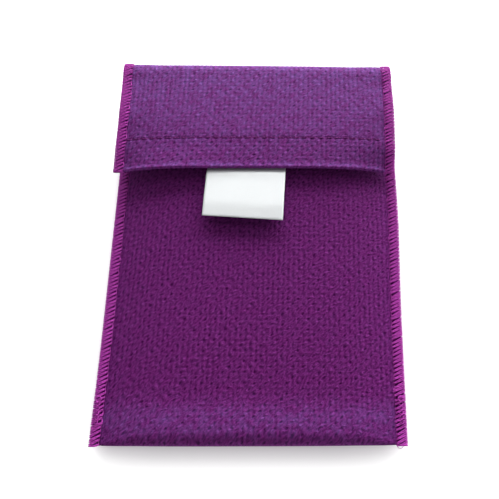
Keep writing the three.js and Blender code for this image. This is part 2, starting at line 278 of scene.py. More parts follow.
def smoothstep(value, start, stop):
    """0 before start, 1 after stop, and an S-curve between them."""
    t = np.clip((value - start) / (stop - start), 0, 1)
    return t * t * (3 - 2 * t)


def lerp(a, b, share):
    """Straight mix of a and b."""
    return a + (b - a) * share


def bell(value, centre, width):
    """Bell curve: the exponential of minus the squared distance from the centre, in widths."""
    return np.exp(-(((value - centre) / width) ** 2))


def crown(x, half_width):
    """1 over the middle, falling with the fourth power of x to 0 at the half width."""
    return 1 - np.minimum(np.abs(x) / half_width, 1) ** 4


def back_z(x):
    """Back panel: flat on the ground over the middle, curving up to the side seams."""
    return SEAM_LOW_Z * smoothstep(np.abs(x), BACK_FLAT * SEAM_X, SEAM_X)


def front_z(x, y):
    """Front panel: a crown between the seams, a little lower at the mouth and the bottom fold."""
    bottom = BOTTOM_Y + BODY_Z / 2
    at_mouth = (BODY_Z - MOUTH_Z) * smoothstep(y, 0, MOUTH_Y)
    at_bottom = (BODY_Z - BOTTOM_Z) * (1 - smoothstep(y, bottom, bottom + BOTTOM_SLOPE))
    ridge = RIDGE * (1 - smoothstep(y, bottom, bottom + RIDGE_SLOPE))
    return lerp(SEAM_TOP_Z, BODY_Z - at_mouth - at_bottom + ridge, crown(x, SEAM_X))


def flap_z(x, y):
    """Flap: a stack's height above the front panel at the tapes, its sides rising towards the top fold.

    From the tapes on, it falls to the fold's height ever more steeply.
    """
    at_fold = lerp(FLAP_EDGE_Z, FOLD_Z, crown(x, SEAM_X))
    towards_fold = np.clip((y - TAPE_TOP_Y) / (FOLD_Y - TAPE_TOP_Y), 0, 1) ** FLAP_FALL
    above_hem = smoothstep(y, HEM_Y, HEM_Y + FLAP_SIDE_SLOPE)
    below_fold = 1 - smoothstep(y, (FOLD_Y + HEM_Y) / 2, FOLD_Y)
    rise = FLAP_SIDE_RISE * above_hem * below_fold * (1 - crown(x, SEAM_X))
    return lerp(front_z(x, y) + STACK, at_fold, towards_fold) + rise


def settle(points, lean, slope, length, settings):
    """Lets a panel lie as the sample does, not quite straight.

    Both sides bow by bell curves along Y, the panel leans sideways in step with the distance below
    the fold, and its cross lines turn from the fold's slope to the far edge's.
    """
    x, y, z = np.moveaxis(points, -1, 0)
    below = np.maximum(FOLD_Y - y, 0)
    at_top = bell(y, FOLD_TIP_Y, END_BOW)
    at_bottom = bell(y, BOTTOM_Y, END_BOW)
    at_middle = bell(y, MIDDLE_BOW_Y, MIDDLE_BOW)
    left = -settings.bow * (LEFT_TOP_BOW * at_top + LEFT_BOTTOM_BOW * at_bottom)
    right = settings.bow * (RIGHT_MIDDLE_BOW * at_middle - RIGHT_TOP_BOW * at_top)
    bowed = x + np.abs(x) / EDGE_X * np.where(x < 0, left, right)
    turned = y + x * lerp(settings.fold_slope, slope, below / length)
    return np.stack([bowed - lean * below, turned, z], -1)


def settle_cover(points, settings):
    """Lets the cover lie as the sample's does."""
    return settle(points, settings.cover_lean, settings.cover_slope, FOLD_Y - BOTTOM_Y, settings)


def settle_flap(points, settings):
    """Lets the flap lie as the sample's does, its hem raised towards the left corner."""
    x, y = points[..., 0], points[..., 1]
    lift = smoothstep(-x, 0, SEAM_X) * (1 - smoothstep(y, HEM_Y, HEM_Y + FLAP_SIDE_SLOPE))
    raised = points + np.stack([0 * x, 0 * x, settings.corner_lift * lift], -1)
    return settle(raised, settings.flap_lean, settings.flap_slope, FOLD_Y - HEM_Y, settings)


def settled(shape, settle_points, settings):
    """A shape with its points settled."""
    points, faces, uv = shape
    return settle_points(points, settings), faces, uv


def unit(vectors):
    """Vectors scaled to length 1."""
    return vectors / np.maximum(np.linalg.norm(vectors, axis=-1, keepdims=True), 1e-12)


def stations(half_width, count):
    """Places across the width, closer together towards both sides, as the sine of even angles."""
    return half_width * np.sin(np.linspace(-STATION_TURN, STATION_TURN, count)) / np.sin(STATION_TURN)


def arc(centre_y, centre_z, radius_y, radius_z, start, stop, count, power=1.0):
    """Part of an ellipse in the YZ plane by angle in degrees, blunter where the power is under 1."""
    turn = np.radians(np.linspace(start, stop, count))
    out, up = np.cos(turn), np.sin(turn)
    y = centre_y + radius_y * np.sign(out) * np.abs(out) ** power
    return y, centre_z + radius_z * np.sign(up) * np.abs(up) ** power


def fold_line(low_z, high_z):
    """Top fold: a quarter ellipse up from the back panel, and a blunter one over to the flap's slope."""
    middle = (low_z + high_z) / 2
    shoulder = np.radians(FOLD_SHOULDER)
    depth = (FOLD_TIP_Y - FOLD_Y) / (1 - np.cos(shoulder) ** BLUNTNESS)
    rise = (high_z - middle) / np.sin(shoulder) ** BLUNTNESS
    below = arc(FOLD_Y, middle, FOLD_TIP_Y - FOLD_Y, middle - low_z, -90, 0, 22)
    above = arc(FOLD_TIP_Y - depth, middle, depth, rise, 0, FOLD_SHOULDER, 24, BLUNTNESS)
    return [tuple(row[..., :-1] for row in below), above]


def surface(x, *parts):
    """Grid of points: each part is a pair of arrays, y and z, with a row for each x."""
    rows = [np.broadcast_arrays(x, y, z) for y, z in parts]
    return np.concatenate([np.stack(row, -1) for row in rows], axis=1)


def doubled(x, y, middle, half, count):
    """Strip folded in half: a front face along y, a round end and a back face along y again.

    Each face lies a half thickness from the middle, a height worked out from y.
    """
    end_y = y[:, -1:]
    back_y = y[:, -2::-1]
    return surface(
        x,
        (y[:, :-1], middle(y[:, :-1]) + half),
        arc(end_y, middle(end_y), half, half, 90, 270, count),
        (back_y, middle(back_y) - half),
    )


def pressed(x):
    """Depth to which the overlock presses the cloth, from just inside its needle line to the edge."""
    return SEAM_PRESS * smoothstep(np.abs(x), SEAM_X - PRESS_INSIDE, SEAM_X + PRESS_OUTSIDE)


def inward(grid):
    """Unit normals of a grid: its direction across, crossed with its direction along."""
    return unit(np.cross(np.gradient(grid, axis=0), np.gradient(grid, axis=1)))


def cloth_position(grid, scale):
    """Place on the flat cloth of each point of a grid: across, and along by the mean arc length."""
    steps = np.linalg.norm(np.diff(grid, axis=1), axis=-1).mean(axis=0)
    along = np.concatenate([[0], np.cumsum(steps)])
    return np.stack(np.broadcast_arrays(grid[..., 0], along), -1) / scale


def quads(index):
    """Quads between neighbours on a grid of point numbers."""
    corners = [index[:-1, :-1], index[1:, :-1], index[1:, 1:], index[:-1, 1:]]
    return np.stack(corners, -1).reshape(-1, 4)


def shell(outer, inner, uv):
    """Closed sheet: an outer and an inner grid, joined by a strip round their border."""
    count = outer.shape[0] * outer.shape[1]
    index = np.arange(count).reshape(outer.shape[:2])
    border = np.concatenate([index[:-1, 0], index[-1, :-1], index[:0:-1, -1], index[0, :0:-1]])
    ahead = np.roll(border, -1)
    strip = np.stack([border, ahead, ahead + count, border + count], -1)
    points = np.concatenate([outer.reshape(-1, 3), inner.reshape(-1, 3)])
    faces = [np.concatenate([quads(index)[:, ::-1], quads(index) + count, strip])]
    return points, faces, np.tile(uv.reshape(-1, 2), (2, 1))


def tubes(paths, radius, sides, reference):
    """Tubes along many paths at once: rings square to the path, closed at both ends.

    A ring lies on two directions, one across the path and the reference, one across the path and that.
    """
    tangent = unit(np.gradient(paths, axis=1))
    side = unit(np.cross(tangent, reference))
    up = np.cross(side, tangent)
    angle = np.linspace(0, 2 * np.pi, sides, endpoint=False)
    ring = np.cos(angle)[:, None] * side[:, :, None] + np.sin(angle)[:, None] * up[:, :, None]
    points = paths[:, :, None] + radius * ring
    index = np.arange(points[..., 0].size).reshape(points.shape[:3])
    ahead = np.roll(index, -1, axis=2)
    corners = [index[:, :-1], ahead[:, :-1], ahead[:, 1:], index[:, 1:]]
    walls = np.stack(corners, -1).reshape(-1, 4)
    ends = np.concatenate([index[:, 0, ::-1], index[:, -1]])
    length = np.cumsum(np.linalg.norm(np.gradient(paths, axis=1), axis=-1), axis=1)
    uv = np.stack(np.broadcast_arrays(angle / (2 * np.pi), length[:, :, None] / (2 * np.pi * radius)), -1)
    return points.reshape(-1, 3), [walls, ends], uv.reshape(-1, 2)


def joined(parts):
    """Several shapes as one: their points in a row, with the faces' numbers moved along."""
    starts = np.cumsum([0] + [len(points) for points, _, _ in parts])
    faces = [block + start for start, (_, blocks, _) in zip(starts, parts) for block in blocks]
    return np.concatenate([p for p, _, _ in parts]), faces, np.concatenate([uv for _, _, uv in parts])


def signed_volume(points, faces):
    """Volume inside a closed shape, negative if its faces point inwards."""
    total = 0
    for block in faces:
        first = points[block[:, 0]]
        for k in range(1, block.shape[1] - 1):
            total += (first * np.cross(points[block[:, k]], points[block[:, k + 1]])).sum() / 6
    return total


def add_piece(name, shape, material, slot, *nodes, painted_sheen=None):
    """Mesh object at the origin that stands for the named solids, with its faces pointing out.

    Painted sheen, if given, is kept on the points for the material to read.
    """
    points, faces, uv = shape
    if signed_volume(points, faces) < 0:
        faces = [block[:, ::-1] for block in faces]
    loops = np.concatenate([block.ravel() for block in faces]).astype(np.int32)
    sides = np.concatenate([np.full(len(block), block.shape[1]) for block in faces]).astype(np.int32)
    mesh = bpy.data.meshes.new(name)
    mesh.vertices.add(len(points))
    mesh.vertices.foreach_set("co", points.astype(np.float32).ravel())
    mesh.loops.add(len(loops))
    mesh.loops.foreach_set("vertex_index", loops)
    mesh.polygons.add(len(sides))
    mesh.polygons.foreach_set("loop_start", np.concatenate([[0], np.cumsum(sides)[:-1]]).astype(np.int32))
    mesh.update(calc_edges=True)
    mesh.uv_layers.new(name="cloth").uv.foreach_set("vector", uv[loops].astype(np.float32).ravel())
    if painted_sheen is not None:
        values = mesh.attributes.new("painted_sheen", "FLOAT", "POINT").data
        values.foreach_set("value", np.tile(painted_sheen.ravel(), 2).astype(np.float32))
    mesh.shade_smooth()
    mesh.materials.append(material)
    piece = bpy.data.objects.new(name, mesh)
    bpy.context.scene.collection.objects.link(piece)
    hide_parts(*nodes)
    return piece


class Graph:
    """Short calls for wiring a node tree."""

    def __init__(self, tree):
        self.tree = tree

    def feed(self, socket, value):
        """Links an output to a socket, or sets the socket's own value."""
        if isinstance(value, bpy.types.NodeSocket):
            self.tree.links.new(value, socket)
        else:
            socket.default_value = value

    def node(self, kind, inputs=None, **settings):
        """Adds a node, sets its options and feeds its inputs."""
        made = self.tree.nodes.new(kind)
        for name, value in settings.items():
            setattr(made, name, value)
        for name, value in (inputs or {}).items():
            self.feed(made.inputs[name], value)
        return made

    def math(self, operation, *values):
        """Output of a Math node."""
        return self.node("ShaderNodeMath", dict(enumerate(values)), operation=operation).outputs[0]

    def vector(self, operation, *values):
        """Output of a Vector Math node."""
        return self.node("ShaderNodeVectorMath", dict(enumerate(values)), operation=operation).outputs[0]

    def ramp(self, value, start, stop, to_start=0.0, to_stop=1.0):
        """Output of a smooth Map Range node."""
        sides = {"Value": value, "From Min": start, "From Max": stop, "To Min": to_start, "To Max": to_stop}
        return self.node("ShaderNodeMapRange", sides, interpolation_type="SMOOTHSTEP").outputs[0]

    def wave(self, value, turns):
        """Cosine of a value that repeats the given number of times per unit."""
        return self.math("COSINE", self.math("MULTIPLY", value, 2 * np.pi * turns))

    def noise(self, vector, scale, detail=2.0):
        """Factor of a Noise texture."""
        sides = {"Vector": vector, "Scale": scale, "Detail": detail}
        return self.node("ShaderNodeTexNoise", sides).outputs[0]

    def patches(self, vector, scale, span, to_span):
        """Noise whose span of values is spread smoothly over another span."""
        return self.ramp(self.noise(vector, scale), *span, *to_span)

    def weighted(self, total, *layers):
        """Sum of a start value and of outputs, each times its share."""
        for layer, share in layers:
            total = self.math("MULTIPLY_ADD", layer, share, total)
        return total

    def blend(self, share, a, b):
        """Mix of two colours."""
        mix = self.node("ShaderNodeMix", data_type="RGBA")
        for socket, value in zip((mix.inputs[0], mix.inputs[6], mix.inputs[7]), (share, a, b)):
            self.feed(socket, value)
        return mix.outputs[2]


def new_group(name, inputs, outputs):
    """Empty shader node group with a vector called Position, number inputs and number outputs."""
    group = bpy.data.node_groups.new(name, "ShaderNodeTree")
    group.interface.new_socket("Position", in_out="INPUT", socket_type="NodeSocketVector")
    for socket in inputs:
        group.interface.new_socket(socket, in_out="INPUT", socket_type="NodeSocketFloat")
    for socket in outputs:
        group.interface.new_socket(socket, in_out="OUTPUT", socket_type="NodeSocketFloat")
    graph = Graph(group)
    return group, graph, graph.node("NodeGroupInput").outputs, graph.node("NodeGroupOutput").inputs


def brick_weave_group():
    """Brick weave: pits in a quincunx, darkened as painted shade, and a short slanting float between them,
    lightened as painted sheen.

    One unit of Position is one repeat. A pit lies where the cosines of the sum and of the difference
    of the coordinates both peak, and a float where the first peaks and the second is lowest. The first
    counts for more, so both are drawn out along the slant, as the fibres are. Ribs run between the
    columns of pits. Height is the relief, Light is 0 to 1 from dark to bright, Float is the share of
    float.
    """
    group, graph, ask, give = new_group("Brick Weave", ["Stray", "Rib"], ["Height", "Light", "Float"])
    position = ask["Position"]
    stray = graph.node("ShaderNodeTexNoise", {"Vector": position, "Scale": 1.3, "Detail": 2.0})
    centred = graph.vector("SUBTRACT", stray.outputs["Color"], (0.5, 0.5, 0.5))
    place = graph.vector("MULTIPLY_ADD", centred, ask["Stray"], position)
    split = graph.node("ShaderNodeSeparateXYZ", {0: place}).outputs
    along_slant = graph.math("SUBTRACT", split[0], split[1])
    across_slant = graph.math("ADD", split[0], split[1])
    rising = graph.wave(along_slant, 1)
    falling = graph.wave(across_slant, 1)
    lattice = graph.weighted(0.0, (rising, 0.36), (falling, 0.64))
    pit = graph.ramp(lattice, 0.55, 1.0)
    pit = graph.math("MULTIPLY", pit, graph.patches(position, 1.9, (0.3, 0.65), (0.35, 1.0)))
    between = graph.weighted(0.0, (rising, -0.38), (falling, 0.62))
    float_yarn = graph.ramp(between, 0.3, 1.0)
    float_yarn = graph.math("MULTIPLY", float_yarn, graph.patches(position, 3.1, (0.4, 0.6), (0.1, 1.0)))
    patch = graph.patches(position, 0.12, (0.3, 0.75), (0.3, 1.0))
    rib = graph.math("MULTIPLY", graph.wave(split[0], 2), graph.math("MULTIPLY", patch, ask["Rib"]))
    slanted = graph.node("ShaderNodeCombineXYZ", {0: across_slant, 1: along_slant}).outputs[0]
    fibre = graph.patches(graph.vector("MULTIPLY", slanted, (4.4, 1.9, 1.0)), 1.0, (0.3, 0.7), (-0.5, 0.5))
    height = graph.weighted(0.5, (rib, -0.3), (float_yarn, 0.45), (pit, -0.6), (fibre, 0.4))
    # Light: pits and rib furrows darkened as painted shade, floats lightened as painted sheen, fibre noise as
    # a random tone
    light = graph.weighted(0.52, (pit, -0.45), (float_yarn, 0.16), (rib, -0.1), (fibre, 0.66))
    graph.feed(give["Height"], height)
    graph.feed(give["Light"], light)
    graph.feed(give["Float"], float_yarn)
    return group


def yarn_twist_group():
    """Twisted yarn: diagonal plies round a thread, with a tone that wanders along it."""
    group, graph, ask, give = new_group("Yarn Twist", ["Plies"], ["Height", "Light"])
    split = graph.node("ShaderNodeSeparateXYZ", {0: ask["Position"]}).outputs
    turn = graph.math("ADD", graph.math("MULTIPLY", split[0], ask["Plies"]), split[1])
    ply = graph.weighted(0.5, (graph.wave(turn, 1), 0.5))
    wander = graph.noise(ask["Position"], 0.35)
    graph.feed(give["Height"], ply)
    # Light: painted shade between the plies, and a tone that wanders at random
    graph.feed(give["Light"], graph.weighted(0.0, (ply, 0.25), (wander, 0.9)))
    return group


def plain_weave_group():
    """Plain weave: two crossing sets of yarn that pass over each other by turns."""
    group, graph, ask, give = new_group("Plain Weave", ["Across", "Along"], ["Height", "Light"])
    split = graph.node("ShaderNodeSeparateXYZ", {0: ask["Position"]}).outputs
    warp = graph.wave(graph.math("MULTIPLY", split[0], ask["Across"]), 1)
    weft = graph.wave(graph.math("MULTIPLY", split[1], ask["Along"]), 1)
    height = graph.weighted(0.5, (graph.math("MULTIPLY", warp, weft), 0.5))
    slub = graph.noise(ask["Position"], 3.0, detail=3.0)
    graph.feed(give["Height"], height)
    # Light: painted shade between the yarns, and slubs as a random tone
    graph.feed(give["Light"], graph.weighted(0.0, (height, 0.3), (slub, 0.8)))
    return group


def group_named(name, make):
    """The node group of that name, made once."""
    return bpy.data.node_groups.get(name) or make()


def woven_material(name, group, values, colours, relief, **principled):
    """Cloth or thread: a weave group drives colour and bump, the rest is set on the shader."""
    material = bpy.data.materials.new(name)
    material.use_nodes = True
    graph = Graph(material.node_tree)
    shader = material.node_tree.nodes["Principled BSDF"]
    position = graph.node("ShaderNodeUVMap", uv_map="cloth").outputs[0]
    weave = graph.node("ShaderNodeGroup", node_tree=group)
    graph.feed(weave.inputs["Position"], position)
    for socket, value in values.items():
        graph.feed(weave.inputs[socket], value)
    dark, light = ((*colour, 1.0) for colour in colours)
    graph.feed(shader.inputs["Base Color"], graph.blend(weave.outputs["Light"], dark, light))
    bump = graph.node("ShaderNodeBump", {"Height": weave.outputs["Height"], "Distance": relief})
    graph.feed(shader.inputs["Normal"], bump.outputs[0])
    for socket, value in principled.items():
        shader.inputs[socket.replace("_", " ").title().replace("Ior", "IOR")].default_value = value
    return material


def cover_material(settings):
    """Matte brick-woven cloth with a faint bluish sheen, and a bluish sheen painted into its colour on
    floats, over the flap, along the hem's roll and above the bottom fold.
    """
    existing = bpy.data.materials.get("Cover Cloth")
    if existing:
        return existing
    material = woven_material(
        "Cover Cloth",
        group_named("Brick Weave", brick_weave_group),
        {"Stray": 0.3, "Rib": 1.0},
        (settings.pit_shade_colour, settings.cloth_colour),
        settings.relief,
        roughness=0.8,
        specular_ior_level=0.1,
        specular_tint=(0.5, 0.25, 1.0, 1.0),
        sheen_weight=0.06,
        sheen_roughness=0.5,
        sheen_tint=(0.3, 0.13, 1.0, 1.0),
    )
    graph = Graph(material.node_tree)
    nodes = material.node_tree.nodes
    base = nodes["Principled BSDF"].inputs["Base Color"]
    painted_sheen = graph.node("ShaderNodeAttribute", attribute_name="painted_sheen").outputs["Fac"]
    # Painted sheen: the pale colour's share, from the painted-sheen values and the floats, in random patches
    patches = graph.patches(nodes["UV Map"].outputs[0], 1.1, (0.3, 0.7), (0.3, 0.9))
    strokes = graph.weighted(patches, (nodes["Group"].outputs["Float"], FLOAT_PAINTED_SHEEN))
    share = graph.math("MULTIPLY", graph.math("ADD", painted_sheen, LEAST_PAINTED_SHEEN), strokes)
    graph.feed(base, graph.blend(share, base.links[0].from_socket, (*settings.sheen_paint_colour, 1.0)))
    return material


def tones(colour, dark, bright):
    """Dark and bright tone of a colour, each a multiple of it."""
    return np.array(colour) * dark, np.minimum(np.array(colour) * bright, 1)


def thread_material(name, colour):
    """Twisted thread, with painted shade between its plies."""
    existing = bpy.data.materials.get(name)
    if existing:
        return existing
    return woven_material(
        name,
        group_named("Yarn Twist", yarn_twist_group),
        {"Plies": 3.0},
        tones(colour, dark=0.5, bright=1.2),
        relief=0.12 * MM,
        roughness=0.6,
        specular_ior_level=0.2,
        specular_tint=(0.9, 0.3, 0.9, 1.0),
    )


def overlock_material(settings):
    """Bulky overlock thread, brighter than the cloth."""
    return thread_material("Overlock Thread", settings.thread_colour)


def sewing_material(settings):
    """Thin sewing thread, close to the cloth in colour."""
    return thread_material("Sewing Thread", settings.sewing_colour)


def plain_material(name, colour, across, along, relief, **principled):
    """Plain-woven cloth in one colour, with painted shade between its yarns, which are counted per unit of
    cloth.
    """
    return woven_material(
        name,
        group_named("Plain Weave", plain_weave_group),
        {"Across": across, "Along": along},
        tones(colour, dark=0.72, bright=1.16),
        relief,
        **principled,
    )


def along_line(line, distance):
    """Point and outward normal of a line in the YZ plane, at distances along it."""
    steps = np.linalg.norm(np.diff(line, axis=0), axis=1)
    reached = np.concatenate([[0], np.cumsum(steps)])
    tangent = unit(np.gradient(line, reached, axis=0))
    place = np.stack([np.interp(distance, reached, line[:, k]) for k in range(2)], -1)
    way = np.stack([np.interp(distance, reached, tangent[:, k]) for k in range(2)], -1)
    return place, unit(np.stack([way[..., 1], -way[..., 0]], -1))


# One stitch of a looper thread: a hairpin that slants out to the edge, wraps it and comes back
STITCH_ACROSS = np.array([0, 0.12, 0.35, 0.6, 0.85, 0.97, 1, 1, 0.97, 0.85, 0.6, 0.35, 0.12, 0])
STITCH_ADVANCE = np.array([0, 0, 0, 0, 0, 0.02, 0.14, 0.4, 0.5, 0.5, 0.4, 0.3, 0.22, 0.18])
STITCH_RISE = np.array([-0.4, 0.7, 1, 1, 1, 0.8, 0.2, 0.2, 0.8, 1, 1, 1, 0.7, -0.4])
STITCH_DROP = np.array([0, 0, 0, 0, 0, 0.1, 0.8, 0.8, 0.1, 0, 0, 0, 0, 0])
STITCH_SLANT = 1.1  # pitches gained on the way out
LOWER_LAG = 0.2  # pitches by which the lower looper follows the upper
STRAY_ALONG = 0.08  # pitches
STRAY_ACROSS = 0.06  # widths of the seam
STITCHES_PAST_ENDS = 3  # one before the line starts, the rest after it stops

# One stitch of the needle thread, which shows between the loopers
NEEDLE_STEP = np.array([-0.2, 0.02, 0.18, 0.4])  # pitches
NEEDLE_SINK = np.array([-1, 0, 0, -1])  # depths of the pressed cloth and a radius
NEEDLE_RISE = 0.5  # radii of the looper thread
NEEDLE_THREAD = 0.6  # of the looper's radius


def overlock(line, depth, inner_x, outer_x, settings, seed):
    """Overlock stitch on the edge of a stack of cloth: two looper threads and a needle thread.

    The line runs along the outer face of the stack and the cloth lies under it to the depth. Each
    looper makes hairpins between the needle line and the edge, on its own face, and the two meet
    half-way down the edge. Every stitch strays a little, and those past an end lie across it.
    """
    random = np.random.default_rng(seed)
    radius = settings.thread / 2
    length = np.linalg.norm(np.diff(line, axis=0), axis=1).sum()
    count = int(length / settings.pitch) + STITCHES_PAST_ENDS
    way = -np.sign(outer_x)
    first = 0 if way > 0 else length
    starts = first + way * settings.pitch * (np.arange(count) - 1 - STITCH_SLANT / 2)
    span = outer_x - radius * np.sign(outer_x) - inner_x
    parts = []
    for face in (0, 1):
        along = STITCH_SLANT * STITCH_ACROSS + STITCH_ADVANCE + LOWER_LAG * face
        jog = random.normal(0, STRAY_ALONG, (count, 1)) * (1 - 0.5 * STITCH_ACROSS)
        shift = random.normal(-STRAY_ACROSS, STRAY_ACROSS, (count, 1)) * (1 - STITCH_ACROSS)
        distance = np.clip(starts[:, None] + way * settings.pitch * (along + jog), 0, length)
        rise = STITCH_RISE * radius - STITCH_DROP * depth / 2
        rise = -depth - rise if face else rise
        place, normal = along_line(line, distance)
        place = place + normal * rise[:, None]
        x = inner_x + span * (STITCH_ACROSS + shift)
        path = np.concatenate([x[..., None], place], -1).reshape(1, -1, 3)
        normal = normal.reshape(1, -1, 2)
        reference = np.stack([np.zeros(normal.shape[:2]), -normal[..., 1], normal[..., 0]], -1)
        parts.append(tubes(path, radius, 8, reference))
    sink = NEEDLE_SINK * (SEAM_PRESS + radius) + NEEDLE_RISE * radius
    distance = np.clip((starts[:, None] + way * settings.pitch * NEEDLE_STEP).reshape(1, -1), 0, length)
    place, normal = along_line(line, distance)
    place = place + normal * np.tile(sink, count)[:, None]
    x = np.full(place.shape[:2] + (1,), inner_x)
    reference = np.concatenate([np.zeros_like(x), normal], -1)
    parts.append(tubes(np.concatenate([x, place], -1), NEEDLE_THREAD * radius, 6, reference))
    return joined(parts)


# Thread left over at the bottom corners
TAIL_THREAD = 0.22 * MM  # radius
TAIL_LINK = 1.9 * MM
TAIL_LINKS = 5
TAIL_SWING = 0.8 * MM
TAIL_ABOVE = 9 * MM  # bottom fold to the tail's lower end
TAIL_INSET = 2.6 * MM  # edge of the seam to the tail
RING = 1.2 * MM
LOOP_WIDTH = 3.2 * MM
LOOP_DROP = 1.9 * MM
LOOP_THREAD = 0.6 * TAIL_THREAD


def chain_tail(x, z):
    """Chain tail laid back along a seam: two threads that cross like sines, with a ring at the end."""
    sway = np.array([[1.0], [-1.0]])
    link = np.linspace(0, TAIL_LINKS, 8 * TAIL_LINKS + 1)
    across = x + TAIL_SWING * sway * np.sin(np.pi * link)
    along = BOTTOM_Y + TAIL_ABOVE + TAIL_LINK * link
    rise = z + TAIL_THREAD * sway * np.cos(np.pi * link)
    links = np.stack(np.broadcast_arrays(across, along, rise), -1)
    turn = np.linspace(0, 2 * np.pi, 17)
    ring_y = along[-1] + RING * (1 - np.cos(turn))
    ring = np.stack(np.broadcast_arrays(x + RING * np.sin(turn), ring_y, z + TAIL_THREAD), -1)
    return joined([tubes(path, TAIL_THREAD, 6, UP) for path in (links, ring[None])])


def corner_loop(x, z):
    """Thread end that hangs out below the bottom fold: half an ellipse."""
    turn = np.linspace(0, np.pi, 13)
    y = BOTTOM_Y + TAIL_THREAD - LOOP_DROP * np.sin(turn)
    path = np.stack(np.broadcast_arrays(x + LOOP_WIDTH / 2 * np.cos(turn), y, z), -1)
    return tubes(path[None], LOOP_THREAD, 6, UP)


# One lockstitch: its course in pitches, its height in radii, and how it strays in pitches
LOCK_COURSE = np.linspace(0.08, 0.92, 7)
LOCK_RISE = np.array([-0.8, 0.2, 0.55, 0.65, 0.55, 0.2, -0.8])
LOCK_STRAY = 0.03
LOCK_SKEW = 0.03
LOCK_SKEW_STRAY = 0.02


def lockstitch(ends, height, radius, pitch, seed, direction=1):
    """Row of stitches between two points in XY: each rises out of the cloth and dips back in."""
    random = np.random.default_rng(seed)
    start, stop = np.array(ends)
    length = np.linalg.norm(stop - start)
    count = int(length / pitch)
    stray = random.normal(0, LOCK_STRAY, (count, 1))
    distance = (np.arange(count)[:, None] + LOCK_COURSE + stray) * pitch
    place = start + (stop - start) * distance[..., None] / length
    skew = random.normal(LOCK_SKEW, LOCK_SKEW_STRAY, (count, 1)) * (LOCK_COURSE - 0.5) * pitch
    side = np.array([start[1] - stop[1], stop[0] - start[0]]) / length
    place = place + side * skew[..., None]
    z = height(place[..., 0], place[..., 1]) + LOCK_RISE * radius * direction
    return tubes(np.concatenate([place, z[..., None]], -1), radius, 6, UP)


def hem_row(y, height, radius, settings, seed):
    """Row of hem stitches straight across, from seam to seam."""
    return lockstitch([(-SEAM_X, y), (SEAM_X, y)], height, radius, settings.stitch, seed)


class CASE_OT_cover(bpy.types.Operator):
    """Builds the cover's cloth: turned-in mouth, front panel, bottom fold and back panel"""

    bl_idname = "cooling_case.cover"
    bl_label = "Cover"

    def execute(self, context):
        settings = context.scene.cooling_case
        turn = settings.cloth + GAP / 2
        x = stations(CLOTH_X, 121)[:, None]
        turn_y = MOUTH_Y - turn
        under_y = np.linspace(MOUTH_Y - MOUTH_HEM, turn_y, 14)[:-1]
        fold_top = front_z(x, BOTTOM_Y)
        radius = (fold_top - back_z(x)) / 2
        share = np.linspace(0, 1, 141)
        front_y = lerp(turn_y, BOTTOM_Y + radius, share)
        back_y = lerp(BOTTOM_Y + radius, FOLD_Y, share)
        outer = surface(
            x,
            (under_y, front_z(x, under_y) - 2 * turn),
            arc(turn_y, front_z(x, turn_y) - turn, turn, turn, -90, 90, 9),
            (front_y[:, 1:-1], front_z(x, front_y[:, 1:-1])),
            arc(BOTTOM_Y + radius, fold_top - radius, radius, radius, 90, 270, 25, BLUNTNESS),
            (back_y[:, 1:], back_z(x)),
        )
        normal = inward(outer)
        outer_face = outer + normal * pressed(outer[..., :1])
        uv = cloth_position(outer, settings.repeat)
        shape = settled(shell(outer_face, outer + normal * settings.cloth, uv), settle_cover, settings)
        # Painted sheen: a pale band along the swell above the bottom fold
        painted_sheen = BOTTOM_PAINTED_SHEEN * bell(outer[..., 1], BOTTOM_SHEEN_Y, BOTTOM_SHEEN_LENGTH)
        cloth = cover_material(settings)
        piece = add_piece("cover_weave", shape, cloth, "cover_cloth", "cover_cloth", painted_sheen=painted_sheen)
        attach(piece, "cover")
        row_y = MOUTH_Y - MOUTH_HEM + HEM_ALLOWANCE
        row = hem_row(row_y, front_z, MOUTH_THREAD, settings, settings.seed)
        row = settled(row, settle_cover, settings)
        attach(add_piece("mouth_stitches", row, sewing_material(settings), "overlock_thread"), "cover")
        return {"FINISHED"}


